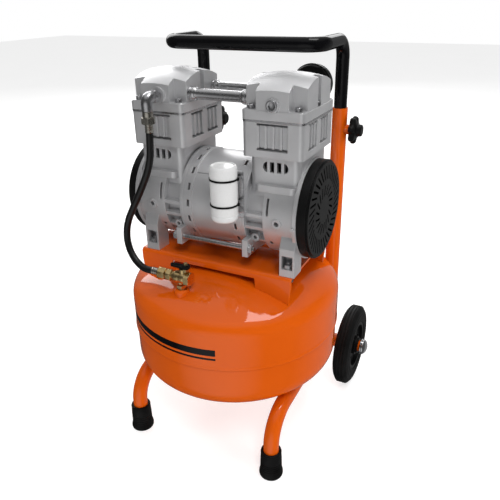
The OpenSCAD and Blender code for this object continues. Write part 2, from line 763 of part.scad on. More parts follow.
// Sweep of a ring of points along a route, with the ring's first axis kept level
function unit(v) = v / norm(v);
function spline(p, i, t) = let (
    a = p[max(i - 1, 0)], b = p[i], c = p[i + 1], d = p[min(i + 2, len(p) - 1)]
) 0.5 * (2 * b + (c - a) * t + (2 * a - 5 * b + 4 * c - d) * t * t + (3 * b - a - 3 * c + d) * t * t * t);
function dense(p, n) = [for (i = [0 : len(p) - 2], k = [0 : n - 1]) spline(p, i, k / n), p[len(p) - 1]];
function heading(p, i) = unit(p[min(i + 1, len(p) - 1)] - p[max(i - 1, 0)]);

module sweep(route, r, sides) {
    path = dense(route, 2);
    n = len(path);
    points = [for (i = [0 : n - 1]) let (
        t = heading(path, i), u = unit(cross(t, [0, 1, 0])), v = cross(t, u)
    ) for (k = [0 : sides - 1]) path[i] + r * (cos(k * 360 / sides) * u + sin(k * 360 / sides) * v)];
    walls = [for (i = [0 : n - 2], k = [0 : sides - 1]) let (a = i * sides + k, b = i * sides + (k + 1) % sides)
        [a, b, b + sides, a + sides]];
    ends = [[for (k = [sides - 1 : -1 : 0]) k], [for (k = [0 : sides - 1]) (n - 1) * sides + k]];
    polyhedron(points, concat(walls, ends));
}
module hose() color(black) placed() sweep(hose_route, hose_r, 12);

// Crimped ferrule and union nut at each end of the hose
module hose_fittings() color(steel) placed() {
    translate([elbow_x, elbow_y, hose_top]) {
        cylinder(r = 6.4, h = 13);
        translate([0, 0, 13]) hex(19, 18);
    }
    translate([0, valve_y, valve_z]) {
        rod_x(6.4, hose_end_x, hose_end_x + 13);
        translate([hose_end_x + 13, 0, 0]) rotate([0, 90, 0]) hex(17, 15);
    }
}

// Brass valve on the tank, with a stem on top for its lever
module valve_body() color(brass) placed() translate([valve_x, valve_y, valve_z]) {
    stem_x = lever_x - valve_x;
    translate([-24, 0, 0]) rotate([0, 90, 0]) hex(17, 9);
    rod_x(7, -15, -11);
    rod_x(9.5, -11, 9);
    translate([9, 0, 0]) rotate([0, 90, 0]) hex(20, 9);
    translate([0, 0, -24]) cylinder(r = 6.4, h = 24);
    translate([0, 0, -17]) hex(14, 5);
    translate([stem_x - 6, 0, 0]) cylinder(r = 5.5, h = 16);
    translate([stem_x, 0, 8]) cylinder(r = 4.5, h = 9);
    translate([stem_x, 0, 0]) cylinder(r = 3, h = 26);
}

// Quarter-turn lever, lying along the hose when the valve is open
module valve_lever() color(black) placed() translate([lever_x, valve_y, lever_z - 4]) difference() {
    union() {
        cylinder(r = 7, h = 6);
        linear_extrude(4) {
            polygon([[0, -6], [0, 6], [-24, 4], [-24, -4]]);
            translate([-24, 0]) circle(4);
        }
    }
    translate([0, 0, -1]) cylinder(r = 3 + fit, h = 10);
}

tank_top_shell();
tank_bottom_shell();
tank_inlet_bung();
tank_drain_plug();
motor_platform();
leg_tube_left();
leg_tube_right();
foot_cap_left();
foot_cap_right();
upright_left();
upright_right();
clamp_bushes();
axle_brackets();
axle();
axle_cap_left();
axle_cap_right();
tyre_left();
tyre_right();
wheel_hub_left();
wheel_hub_right();
handle();
clamp_knob_left();
clamp_knob_right();
motor_shell();
stator();
rotor();
motor_shaft();
shaft_bearings();
crank_left();
crank_right();
fan_left();
fan_right();
fan_cover_left();
fan_cover_right();
crankcase_left();
crankcase_right();
cylinder_block_left();
cylinder_block_right();
cylinder_liner_left();
cylinder_liner_right();
piston_left();
piston_right();
valve_plate_left();
valve_plate_right();
head_left();
head_right();
head_bolts();
transfer_tube_front();
transfer_tube_rear();
tie_rods();
mounting_bolts();
capacitor();
capacitor_bracket();
air_filter();
head_plug();
outlet_elbow();
hose();
hose_fittings();
valve_body();
valve_lever();
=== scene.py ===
import json
import math

import bmesh
import bpy
from mathutils import Matrix, Vector


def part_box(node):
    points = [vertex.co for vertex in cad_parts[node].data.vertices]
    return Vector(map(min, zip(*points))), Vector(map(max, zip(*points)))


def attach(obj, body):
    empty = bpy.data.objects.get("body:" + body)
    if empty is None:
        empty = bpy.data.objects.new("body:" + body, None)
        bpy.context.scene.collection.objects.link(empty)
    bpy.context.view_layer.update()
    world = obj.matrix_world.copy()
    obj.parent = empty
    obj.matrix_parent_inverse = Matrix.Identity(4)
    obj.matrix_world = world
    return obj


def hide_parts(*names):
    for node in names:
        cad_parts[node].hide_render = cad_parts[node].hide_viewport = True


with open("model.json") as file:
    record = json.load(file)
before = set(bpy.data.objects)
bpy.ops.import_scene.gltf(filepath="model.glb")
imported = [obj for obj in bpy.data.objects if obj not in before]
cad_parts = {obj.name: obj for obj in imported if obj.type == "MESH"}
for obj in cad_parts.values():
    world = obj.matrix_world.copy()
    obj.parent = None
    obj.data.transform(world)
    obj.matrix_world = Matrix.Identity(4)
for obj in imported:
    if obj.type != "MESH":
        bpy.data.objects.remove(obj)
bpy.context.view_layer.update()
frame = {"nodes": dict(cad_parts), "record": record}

MM = 0.001
SCENE = bpy.context.scene
SCENE.view_settings.view_transform = "Standard"


# ---- Places that several pieces share, worked out from the frame ----

def middle(node):
    """The middle of a CAD node's box, in metres."""
    low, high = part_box(node)
    return (Vector(low) + Vector(high)) / 2


AXIS_Y = middle("tank_top_shell").y  # pieces are drawn about the tank's axis
CYLINDER_X = middle("cylinder_liner_right").x / MM


def low_and_high(node):
    """A CAD node's box about the tank's axis, in millimetres."""
    return [Vector((p[0], p[1] - AXIS_Y, p[2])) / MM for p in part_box(node)]


# ---- Camera ----

CAMERA_PLACE = Vector((0.3888, -0.7555, 0.7104))
AZIMUTH, PITCH, ROLL = math.radians(26.556), math.radians(24.444), math.radians(-0.966)
SENSOR, LENS = 36, 38.98             # millimetres
SHIFT_X, SHIFT_Y = 0.0027, -0.0212


def make_camera():
    ahead = Vector((-math.sin(AZIMUTH) * math.cos(PITCH), math.cos(AZIMUTH) * math.cos(PITCH), -math.sin(PITCH)))
    level = Vector((math.cos(AZIMUTH), math.sin(AZIMUTH), 0))
    above = level.cross(ahead)
    right = level * math.cos(ROLL) + above * math.sin(ROLL)
    up = above * math.cos(ROLL) - level * math.sin(ROLL)
    data = bpy.data.cameras.new("camera")
    data.sensor_width, data.lens = SENSOR, LENS
    data.shift_x, data.shift_y = SHIFT_X, SHIFT_Y
    camera = bpy.data.objects.new("camera", data)
    turn = Matrix((right, up, -ahead)).transposed()
    camera.matrix_world = Matrix.Translation(CAMERA_PLACE) @ turn.to_4x4()
    SCENE.collection.objects.link(camera)
    SCENE.camera = camera


make_camera()


# ---- Materials ----

def new_material(name):
    made = bpy.data.materials.new(name)
    made.use_nodes = True
    return made, made.node_tree.nodes, made.node_tree.links, made.node_tree.nodes["Principled BSDF"]


def noise_of(nodes, links, scale, detail=4.0, stretch=(1, 1, 1)):
    """A noise texture in the object's own space. scale is in waves a metre."""
    place, mapping = nodes.new("ShaderNodeTexCoord"), nodes.new("ShaderNodeMapping")
    mapping.inputs["Scale"].default_value = stretch
    links.new(place.outputs["Object"], mapping.inputs["Vector"])
    noise = nodes.new("ShaderNodeTexNoise")
    noise.inputs["Scale"].default_value, noise.inputs["Detail"].default_value = scale, detail
    links.new(mapping.outputs["Vector"], noise.inputs["Vector"])
    return noise.outputs["Fac"]


def ranged(nodes, links, value, low, high, start=0.3, end=0.7):
    """value taken from start..end to low..high."""
    node = nodes.new("ShaderNodeMapRange")
    for name, number in zip(("From Min", "From Max", "To Min", "To Max"), (start, end, low, high)):
        node.inputs[name].default_value = number
    links.new(value, node.inputs["Value"])
    return node.outputs["Result"]


def mixed(nodes, links, fac, a, b):
    """The colour between a and b. Each is a colour or a node's output."""
    node = nodes.new("ShaderNodeMix")
    node.data_type = "RGBA"
    for socket, colour in ((node.inputs[6], a), (node.inputs[7], b)):
        if isinstance(colour, tuple):
            socket.default_value = (*colour, 1)
        else:
            links.new(colour, socket)
    links.new(fac, node.inputs[0])
    return node.outputs[2]


def surface(name, dark, light, blotch, rough, grain, depth, metallic=0.0, edge=0.8, edge_highlight=None, stretch=(1, 1, 1),
            **constants):
    """A finish whose colour runs from dark to light in blotches, and whose roughness and bump follow finer grain.
    blotch and grain are waves a metre, depth is the bump's height in millimetres, edge the radius in millimetres
    at which edges catch the light, and edge_highlight the painted highlight colour that an edge is lightened to."""
    made, nodes, links, shader = new_material(name)
    wide = noise_of(nodes, links, blotch, 3.0, stretch)
    fine = noise_of(nodes, links, grain, 5.0, stretch)
    colour = mixed(nodes, links, ranged(nodes, links, wide, 0, 1), dark, light)
    soft = nodes.new("ShaderNodeBevel")
    soft.samples = 4
    soft.inputs["Radius"].default_value = edge * MM
    # Painted highlight: edges are lightened toward a brighter colour where the bevel normal turns away from the true
    # normal.
    if edge_highlight:
        true = nodes.new("ShaderNodeNewGeometry")
        facing = nodes.new("ShaderNodeVectorMath")
        facing.operation = "DOT_PRODUCT"
        links.new(soft.outputs["Normal"], facing.inputs[0])
        links.new(true.outputs["Normal"], facing.inputs[1])
        painted_highlight_rim = ranged(nodes, links, facing.outputs["Value"], 0.7, 0.0, 0.8, 0.99)
        colour = mixed(nodes, links, painted_highlight_rim, colour, edge_highlight)
    links.new(colour, shader.inputs["Base Color"])
    links.new(ranged(nodes, links, fine, *rough), shader.inputs["Roughness"])
    bump = nodes.new("ShaderNodeBump")
    bump.inputs["Strength"].default_value = 1.0
    bump.inputs["Distance"].default_value = depth * MM
    links.new(fine, bump.inputs["Height"])
    links.new(soft.outputs["Normal"], bump.inputs["Normal"])
    links.new(bump.outputs["Normal"], shader.inputs["Normal"])
    shader.inputs["Metallic"].default_value = metallic
    for socket, number in constants.items():
        shader.inputs[socket.replace("_", " ").title().replace("Ior", "IOR")].default_value = number
    return made


# Most finishes lighten their edges toward a painted highlight colour, the last colour given to each.
MATERIALS = {
    "orange_paint": surface(
        "orange_powder_coat", (0.60, 0.086, 0.002), (0.64, 0.095, 0.003), 7, (0.30, 0.36), 420, 0.006,
        edge=1.2, edge_highlight=(0.75, 0.16, 0.012), coat_weight=1.0, coat_roughness=0.05,
        specular_ior_level=0.0),
    "black_paint": surface(
        "black_gloss_enamel", (0.002, 0.002, 0.0025), (0.004, 0.004, 0.0045), 14, (0.20, 0.28), 500, 0.006,
        coat_weight=0.5, coat_roughness=0.05,
        specular_ior_level=0.0),
    "rubber_foot": surface(
        "foot_rubber", (0.002, 0.002, 0.002), (0.006, 0.006, 0.006), 60, (0.50, 0.70), 900, 0.06,
        edge_highlight=(0.012, 0.012, 0.012), specular_ior_level=0.2),
    "tyre_rubber": surface(
        "tyre_rubber", (0.002, 0.002, 0.002), (0.006, 0.006, 0.006), 45, (0.50, 0.72), 800, 0.06,
        edge_highlight=(0.012, 0.012, 0.012), specular_ior_level=0.2),
    "hose_rubber": surface(
        "hose_rubber", (0.002, 0.002, 0.002), (0.005, 0.005, 0.005), 60, (0.30, 0.40), 1200, 0.02),
    "black_plastic": surface(
        "black_moulded_plastic", (0.002, 0.002, 0.002), (0.005, 0.005, 0.005), 40, (0.34, 0.50), 1600, 0.03,
        edge_highlight=(0.012, 0.012, 0.012), specular_ior_level=0.2),
    "cast_aluminium": surface(
        "cast_aluminium", (0.60, 0.60, 0.61), (0.67, 0.67, 0.68), 26, (0.36, 0.46), 1500, 0.035,
        metallic=0.72, edge=1.4, edge_highlight=(0.90, 0.90, 0.91)),
    "bright_steel": surface(
        "plated_steel", (0.50, 0.50, 0.51), (0.62, 0.62, 0.64), 60, (0.20, 0.34), 1800, 0.02,
        metallic=1.0, edge=0.5, edge_highlight=(0.85, 0.85, 0.85)),
    "tube_aluminium": surface(
        "drawn_aluminium", (0.60, 0.60, 0.61), (0.70, 0.70, 0.71), 30, (0.18, 0.30), 900, 0.02,
        metallic=1.0, stretch=(0.08, 1, 1)),
    "chrome": surface(
        "polished_chrome", (0.74, 0.74, 0.76), (0.80, 0.80, 0.82), 20, (0.05, 0.12), 700, 0.01, metallic=1.0),
    "brass": surface(
        "machined_brass", (0.72, 0.52, 0.24), (0.84, 0.64, 0.32), 55, (0.18, 0.32), 1500, 0.03,
        metallic=1.0, edge=0.5, edge_highlight=(0.92, 0.74, 0.42)),
    "plated_fittings": surface(
        "nickel_plating", (0.45, 0.43, 0.38), (0.58, 0.55, 0.49), 70, (0.16, 0.30), 1800, 0.02,
        metallic=1.0, edge=0.5, edge_highlight=(0.88, 0.86, 0.80)),
    "white_plastic": surface(
        "white_plastic", (0.60, 0.60, 0.60), (0.65, 0.65, 0.645), 20, (0.24, 0.34), 900, 0.01,
        coat_weight=0.4, coat_roughness=0.08),
    "copper": surface(
        "enamelled_copper", (0.38, 0.15, 0.05), (0.55, 0.24, 0.08), 90, (0.25, 0.40), 700, 0.15, metallic=1.0),
}


# ---- Discharge hose ----

HOSE_D = 11 * MM
HOSE_ROUTE = [
    (-88, -90, 528), (-88.5, -91, 508), (-90, -92, 490), (-95, -94, 470), (-104, -97, 448), (-114, -100, 427),
    (-124, -103, 407), (-132, -106, 388), (-135, -109, 370), (-132, -113, 352), (-122, -118, 336),
    (-108, -122, 325), (-94, -125, 320.5), (-80, -125, 320),
]


def make_hose():
    """The hose as one open curve, its points about the tank's axis in millimetres."""
    data = bpy.data.curves.new("discharge_hose", "CURVE")
    data.dimensions, data.bevel_depth, data.bevel_resolution, data.resolution_u = "3D", HOSE_D / 2, 8, 10
    line = data.splines.new("BEZIER")
    line.bezier_points.add(len(HOSE_ROUTE) - 1)
    for point, (x, y, z) in zip(line.bezier_points, HOSE_ROUTE):
        point.co = (x * MM, AXIS_Y + y * MM, z * MM)
        point.handle_left_type = point.handle_right_type = "AUTO"
    data.materials.append(MATERIALS["hose_rubber"])
    hose = bpy.data.objects.new("discharge_hose", data)
    SCENE.collection.objects.link(hose)
    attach(hose, "frame")
    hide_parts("hose")
    tuple(line.bezier_points[0].co)


make_hose()


# ---- Making pieces ----

class Shape:
    """Forms gathered into one mesh, in millimetres about the tank's axis."""

    def __init__(self):
        self.points, self.faces = [], []

    def add(self, form, place=None):
        points, faces = form
        base = len(self.points)
        self.points += [place @ Vector(p) if place else Vector(p) for p in points]
        self.faces += [[base + i for i in face] for face in faces]
        return self

    def mesh(self, name):
        data = bpy.data.meshes.new(name)
        data.from_pydata([(p.x * MM, AXIS_Y + p.y * MM, p.z * MM) for p in self.points], [], self.faces)
        made = bmesh.new()
        made.from_mesh(data)
        bmesh.ops.recalc_face_normals(made, faces=made.faces)
        made.to_mesh(data)
        made.free()
        return data


TURNS = {
    "X": Matrix.Rotation(math.radians(90), 4, "Y"), "-X": Matrix.Rotation(math.radians(-90), 4, "Y"),
    "Y": Matrix.Rotation(math.radians(-90), 4, "X"), "-Y": Matrix.Rotation(math.radians(90), 4, "X"),
    "Z": Matrix(), "-Z": Matrix.Rotation(math.radians(180), 4, "X"),
}


def at(x, y, z, axis="Z"):
    """Moves a form drawn up the Z axis to a place, with its Z along the given axis."""
    return Matrix.Translation((x, y, z)) @ TURNS[axis]


def add_piece(name, mesh, body, slot, replaces=(), smooth=40):
    """Links a mesh as a piece of the object. smooth is the angle in degrees below which its edges are smooth."""
    piece = bpy.data.objects.new(name, mesh)
    SCENE.collection.objects.link(piece)
    mesh.materials.clear()
    mesh.materials.append(MATERIALS[slot])
    for polygon in mesh.polygons:
        polygon.use_smooth = True
    mesh.set_sharp_from_angle(angle=math.radians(smooth))
    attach(piece, body)
    if replaces:
        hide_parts(*replaces)
    return piece


def loft(rings, closed=False):
    """A skin over rings of equal length, with its ends filled, or joined to each other if closed."""
    n = len(rings[0])
    faces = []
    for i in range(len(rings) if closed else len(rings) - 1):
        a, b = i * n, (i + 1) % len(rings) * n
        faces += [(a + k, a + (k + 1) % n, b + (k + 1) % n, b + k) for k in range(n)]
    if not closed:
        faces += [tuple(range(n)), tuple(range((len(rings) - 1) * n, len(rings) * n))]
    return [p for ring in rings for p in ring], faces


def ring(radius, height, steps):
    """A ring about Z. radius is a number, or a function of the angle."""
    angles = [2 * math.pi * k / steps for k in range(steps)]
    radii = [radius(a) if callable(radius) else radius for a in angles]
    return [(r * math.cos(a), r * math.sin(a), height) for r, a in zip(radii, angles)]


def filleted(corners, closed=False, steps=4):
    """An outline of (radius, height, fillet) corners as (radius, height) points, with its fillets drawn."""
    made, last = [], len(corners) - 1
    for i, (u, v, fillet) in enumerate(corners):
        here = Vector((u, v))
        if not fillet or (not closed and i in (0, last)):
            made.append((u, v))
            continue
        before, after = (Vector(corners[j][:2]) - here for j in (i - 1, (i + 1) % (last + 1)))
        reach = min(fillet, before.length / 2, after.length / 2)
        start, end = here + before.normalized() * reach, here + after.normalized() * reach
        for k in range(steps + 1):
            t = k / steps
            made.append(tuple(start * (1 - t) ** 2 + here * 2 * t * (1 - t) + end * t * t))
    return made


def turned(corners, steps=48, closed=False):
    """A turned form about Z, from an outline of (radius, height, fillet) corners."""
    return loft([ring(r, h, steps) for r, h in filleted(corners, closed)], closed)


def hexed(half):
    """The radius, as a function of the angle, of a hexagon whose flats are half from its middle."""
    return lambda a: half / math.cos((a % (math.pi / 3)) - math.pi / 6)


def hexagonal(flats, height, washer=0.0):
    """A hexagon nut with both ends chamfered, on an optional round washer face."""
    half = flats / 2

    def radius(from_end):
        return lambda a: min(hexed(half)(a), half * 1.01 + 1.8 * from_end)

    depths = [0, 0.12, 0.28, 0.48, 0.75]
    heights = [(d, d) for d in depths] + [(height - d, d) for d in reversed(depths)]
    rings = [ring(half * 0.82, 0, 48)] + [ring(radius(d), h, 48) for h, d in heights] + [ring(half * 0.82, height, 48)]
    if washer:
        rings = [ring(washer, -0.9, 48), ring(washer, -0.1, 48), ring(half * 0.95, 0, 48)] + rings[1:]
    return loft(rings)


def threaded(radius, length, pitch=1.25):
    """A threaded stud as rolled crests."""
    n = max(2, round(length / pitch))
    rings = [ring(radius * 0.86, 0, 24)]
    for i in range(n):
        rings += [ring(radius * 0.88, (i + 0.15) * length / n, 24), ring(radius, (i + 0.5) * length / n, 24)]
    return loft(rings + [ring(radius * 0.86, length, 24)])


def tube(route, radii, steps=32):
    """A round form along a route of points. Each radius goes with its point."""
    rings = []
    side = Vector((0, 0, 1)).cross(Vector(route[1]) - Vector(route[0]))
    side = side.normalized() if side.length > 1e-6 else Vector((1, 0, 0))
    for i, p in enumerate(route):
        ahead = (Vector(route[min(i + 1, len(route) - 1)]) - Vector(route[max(i - 1, 0)])).normalized()
        side = (side - ahead * side.dot(ahead)).normalized()
        other = ahead.cross(side)
        rings.append([Vector(p) + radii[i] * (math.cos(a) * side + math.sin(a) * other)
                      for a in (2 * math.pi * k / steps for k in range(steps))])
    return loft(rings)


def slab(outline, thickness, edge=0.6):
    """A plate of even thickness from an outline of (x, y, fillet) corners, its rims rounded by edge."""
    flat = filleted(outline, closed=True)
    centre = sum((Vector(p) for p in flat), Vector((0, 0))) / len(flat)

    def row(inset, height):
        points = []
        for i, p in enumerate(flat):
            run = (Vector(flat[(i + 1) % len(flat)]) - Vector(flat[i - 1])).normalized()
            inward = Vector((-run.y, run.x))
            if inward.dot(centre - Vector(p)) < 0:
                inward = -inward
            q = Vector(p) + inward * inset
            points.append((q.x, q.y, height))
        return points

    return loft([row(edge, 0), row(edge * 0.3, edge * 0.3), row(0, edge), row(0, thickness - edge),
                 row(edge * 0.3, thickness - edge * 0.3), row(edge, thickness)])


def both_sides(make):
    """Calls make for the left and the right, with the side's name and its sign along X."""
    for side, sign in (("left", -1), ("right", 1)):
        make(side, sign)


# ---- Feet, wheels and knobs ----

KNOB_DEPTH = 19                      # the boss's front stands this far from the star's back


def make_foot(side, sign):
    low, high = low_and_high("foot_cap_" + side)
    x, y = (low.x + high.x) / 2, (low.y + high.y) / 2
    top = high.z
    grips = [corner for z in (16, 20, 24, 28) for corner in
             ((17.9 - z * 0.02, z - 1.4, 0.5), (17.2 - z * 0.02, z - 0.6, 0.4), (17.2 - z * 0.02, z + 0.6, 0.4),
              (17.9 - z * 0.02, z + 1.4, 0.5))]
    outline = [(14, 0.6, 0), (15, 0, 0.8), (18.4, 0, 1.6), (19.45, 3, 2.0), (19.2, 7, 2.5), (17.6, 12.5, 3.0), *grips,
               (16.6, top - 4, 1.0), (16.9, top - 3, 0.8), (16.2, top, 1.4), (13, top, 0.4), (12.6, top - 2, 0)]
    add_piece("foot_cap_" + side, Shape().add(turned(outline, 64), at(x, y, 0)).mesh("foot_cap_" + side), "frame",
              "rubber_foot", ["foot_cap_" + side])


def make_wheel(side, sign):
    low, high = low_and_high("tyre_" + side)
    hub_low, hub_high = low_and_high("wheel_hub_" + side)
    r, painted_highlight_rim = (high.z - low.z) / 2, (hub_high.z - hub_low.z) / 2
    y, z, w = (low.y + high.y) / 2, (low.z + high.z) / 2, high.x - low.x
    axis, start = ("X", low.x) if sign > 0 else ("-X", high.x)
    tread = []
    for g in (0.30, 0.5, 0.70):
        tread += [(r, w * g - 1.5, 0.4), (r - 1.6, w * g - 0.9, 0.5),
                  (r - 1.6, w * g + 0.9, 0.5), (r, w * g + 1.5, 0.4)]
    wall = [(painted_highlight_rim + 14, 0.8, 0.6), (painted_highlight_rim + 14.8, 0.1, 0.5), (painted_highlight_rim + 16.4, 0.1, 0.5), (painted_highlight_rim + 17.2, 0.8, 0.6)]
    outer = [(u, w - v, f) for u, v, f in reversed(wall)]
    outline = [(painted_highlight_rim - 0.6, 3.0, 0.6), (painted_highlight_rim + 2, 0.9, 1.2), (painted_highlight_rim + 5, 0.1, 1.5), (painted_highlight_rim + 8, 1.0, 1.2), *wall,
               (r - 8, 0.9, 3.5), (r - 1.2, 6, 4.0), (r, 7.5, 1.0), *tread, (r, w - 7.5, 1.0), (r - 1.2, w - 6, 4.0),
               (r - 8, w - 0.9, 3.5), *outer, (painted_highlight_rim + 8, w - 1.0, 1.2), (painted_highlight_rim + 5, w - 0.1, 1.5), (painted_highlight_rim + 2, w - 0.9, 1.2),
               (painted_highlight_rim - 0.6, w - 3.0, 0.6)]
    tyre = Shape().add(turned(outline, 120, closed=True), at(start, y, z, axis))
    add_piece("tyre_" + side, tyre.mesh("tyre_" + side), "wheel_" + side, "tyre_rubber", ["tyre_" + side])
    cap_low, cap_high = low_and_high("axle_cap_" + side)
    cap_r, length = (cap_high.z - cap_low.z) / 2, cap_high.x - cap_low.x
    start = cap_low.x if sign > 0 else cap_high.x
    dome = [(cap_r * math.cos(a), 3 + (length - 3) * math.sin(a), 0) for a in
            (math.radians(d) for d in (0, 8, 16, 25, 34, 43, 52, 61, 70, 78, 85))]
    outline = [(8.4, 0, 0), (cap_r - 1.0, 0, 0.6), (cap_r, 0.6, 0.5), (cap_r, 2.2, 0.5), (cap_r - 0.8, 2.9, 0.4)]
    cap = Shape().add(turned(outline + dome[1:], 64), at(start, y, z, axis))
    add_piece("axle_cap_" + side, cap.mesh("axle_cap_" + side), "frame", "chrome", ["axle_cap_" + side], smooth=60)


def make_knob(side, sign):
    """A star knob with seven round lobes and a domed boss, on a threaded screw."""
    low, high = low_and_high("clamp_knob_" + side)
    y, z = (low.y + high.y) / 2, (low.z + high.z) / 2
    back = high.x - KNOB_DEPTH
    radius, lobes = (high.z - low.z) / 2 - 0.2, 7

    def star(scale):
        return lambda a: radius * scale * (0.885 + 0.115 * math.sin(math.pi / 2 * math.cos(lobes * a)))

    profile = [(0.60, 0), (0.86, 0.2), (0.95, 1.0), (0.99, 2.4), (1.0, 4.0), (0.99, 6.4), (0.95, 8.2), (0.88, 9.4),
               (0.78, 10.0)]
    rings = [ring(star(s), h, 84) for s, h in profile]
    rings += [ring(u, h, 84) for u, h in filleted(
        [(14.5, 10.2, 0), (11.4, 10.6, 1.2), (10, 12, 1.2), (9.6, 17.6, 1.4), (8.4, 19, 1.2), (3, 19, 0)])]
    screw = threaded(3.9, back + 1 - low.x, 1.25)
    add_piece("clamp_knob_" + side, Shape().add(loft(rings), at(back, y, z, "X")).add(screw, at(low.x, y, z, "X")).mesh(
        "clamp_knob_" + side), "knob_" + side, "black_plastic", ["clamp_knob_" + side])


both_sides(make_foot)
both_sides(make_wheel)
both_sides(make_knob)


# ---- Bolts, rods and tubes of the pump ----

HEAD_SCREW_HEAD = 6                  # height
HEAD_SCREW_KEY = 2.5                 # from the middle of the screw's socket to a flat
HEAD_SCREWS = [(-35, -52.5), (-35, 52.5), (35, -52.5), (35, 52.5), (-42, 0), (42, 0)]
MOUNTING_SEAT = 22.2                 # from the foot of a mounting bolt up to the casting it holds
ROD_Y = 75                           # from the shaft


def make_bolts():
    """The socket screws of the heads, with knurled sides."""
    seat = low_and_high("head_bolts")[1].z - HEAD_SCREW_HEAD
    gap = HEAD_SCREW_KEY / math.cos(math.pi / 6)
    shape = Shape()

    def knurled(a):
        return 4.75 + 0.2 * math.cos(24 * a)

    socket = hexed(HEAD_SCREW_KEY)
    head = [ring(radius, h, 48) for radius, h in (
        (4.9, 0), (knurled, 0.4), (knurled, 4.9), (4.7, 5.4), (4.2, 5.9), (gap + 0.5, 6.0), (socket, 5.6),
        (socket, 3.0), (1.0, 2.4))]
    for side in (-1, 1):
        for x, y in HEAD_SCREWS:
            shape.add(loft(head), at(side * CYLINDER_X + x, y, seat))
            shape.add(threaded(2.9, 11, 1.0), at(side * CYLINDER_X + x, y, seat - 10.9))
    add_piece("head_bolts", shape.mesh("head_bolts"), "frame", "bright_steel", ["head_bolts"])


def make_mounting_bolts():
    """Studs through the crankcases' feet, with a washer nut above and a nut under the platform."""
    low, high = low_and_high("mounting_bolts")
    seat, shape = low.z + MOUNTING_SEAT, Shape()
    for x in (low.x + 7.5, high.x - 7.5):
        for y in (low.y + 6.5, high.y - 6.5):
            shape.add(threaded(3.9, high.z - low.z - 1.5), at(x, y, low.z + 1.5))
            shape.add(hexagonal(13, 5.8, washer=7.4), at(x, y, seat + 0.95))
            shape.add(hexagonal(13, 6), at(x, y, low.z))
    add_piece("mounting_bolts", shape.mesh("mounting_bolts"), "frame", "bright_steel", ["mounting_bolts"])


def make_tie_rods():
    """A rod under each side of the motor, threaded and nutted at both ends."""
    low, high = low_and_high("tie_rods")
    z, shape = (low.z + high.z) / 2, Shape()
    for y in (-ROD_Y, ROD_Y):
        shape.add(turned([(3.3, -48, 0), (3.95, -47, 0.5), (3.95, 50, 0.5), (3.3, 51, 0)], 32), at(0, y, z, "X"))
        shape.add(threaded(3.95, high.x - 50), at(50, y, z, "X"))
        shape.add(threaded(3.95, -47 - low.x), at(low.x, y, z, "X"))
        shape.add(hexagonal(13, 6.4), at(high.x - 9, y, z, "X"))
        shape.add(hexagonal(13, 6.4), at(low.x + 2.6, y, z, "X"))
    add_piece("tie_rods", shape.mesh("tie_rods"), "frame", "bright_steel", ["tie_rods"])


def make_transfer_tube(name):
    """A drawn tube with a swaged collar and a sealing ring at each head."""
    low, high = low_and_high(name)
    end, y, z = high.x, (low.y + high.y) / 2, (low.z + high.z) / 2
    half = [(8, 0, 0), (8, end - 12, 1.5), (9.6, end - 10.6, 1.2), (10.45, end - 8, 1.2), (10.45, end - 4.4, 0.5),
            (9.7, end - 4.0, 0.3), (9.7, end - 3.2, 0.3), (10.45, end - 2.8, 0.5), (10.45, end, 0.5), (5.4, end, 0)]
    outline = [(u, -v, f) for u, v, f in reversed(half)][:-1] + half[1:]
    add_piece(name, Shape().add(turned(outline, 64), at(0, y, z, "X")).mesh(name), "frame", "tube_aluminium", [name],
              smooth=50)


make_bolts()
make_mounting_bolts()
make_tie_rods()
make_transfer_tube("transfer_tube_front")
make_transfer_tube("transfer_tube_rear")


# ---- Capacitor and filter ----

STRAPS_Z = (437.5, 475)
PLATE_BOTTOM = 412
PLATE_SCREWS_Z = (425, 470)


def make_capacitor():
    """A plastic can with a crimped cap at the bottom and a shallow pan on top, in two straps on a bent plate."""
    low, high = low_and_high("capacitor")
    x, y, r, h = (low.x + high.x) / 2, (low.y + high.y) / 2, (high.x - low.x) / 2, high.z - low.z
    outline = [(r - 5, 1.0, 0), (r - 4, 0, 0.8), (r - 2.4, 0, 1.6), (r, 3.2, 1.8), (r, 8.4, 0.3), (r - 0.5, 8.9, 0.3),
               (r - 0.5, 9.5, 0.3), (r - 0.15, 10, 0.3), (r - 0.15, h - 3.4, 1.6), (r - 1.5, h - 0.8, 1.2),
               (r - 2.6, h, 0.8), (r - 3.8, h, 0.6), (r - 4.6, h - 1.1, 0.8), (4, h - 1.2, 0)]
    add_piece("capacitor", Shape().add(turned(outline, 96), at(x, y, low.z)).mesh("capacitor"), "frame",
              "white_plastic", ["capacitor"], smooth=50)
    bracket_low, bracket_high = low_and_high("capacitor_bracket")
    straps = Shape()
    for z in STRAPS_Z:
        band = [(r + 0.05, 0.2, 0.2), (r + 0.75, 0, 0.3), (r + 0.75, 3.0, 0.3), (r + 0.05, 2.8, 0.2)]
        straps.add(turned(band, 96, closed=True), at(x, y, z))
        straps.add(slab([(-4, -2.2, 0.8), (4, -2.2, 0.8), (4, 2.2, 0.8), (-4, 2.2, 0.8)], 3.4, 0.4),
                   at(x + r + 0.3 - 2, y + 6, z + 1.5, "-Y"))
    add_piece("capacitor_straps", straps.mesh("capacitor_straps"), "frame", "black_plastic")
    plate, left, right = Shape(), bracket_low.x + 0.4, bracket_high.x - 0.2
    top = bracket_high.z - 0.2
    flat = [(left, PLATE_BOTTOM, 2), (right, PLATE_BOTTOM, 2), (right, top, 3), (left, top, 3)]
    plate.add(slab(flat, 2.1, 0.5), at(0, bracket_high.y - 0.1, 0, "-Y"))
    for z in PLATE_SCREWS_Z:
        plate.add(hexagonal(7, 2.6), at(right - 3.6, bracket_high.y - 2.2, z, "-Y"))
    add_piece("capacitor_plate", plate.mesh("capacitor_plate"), "frame", "bright_steel", ["capacitor_bracket"])


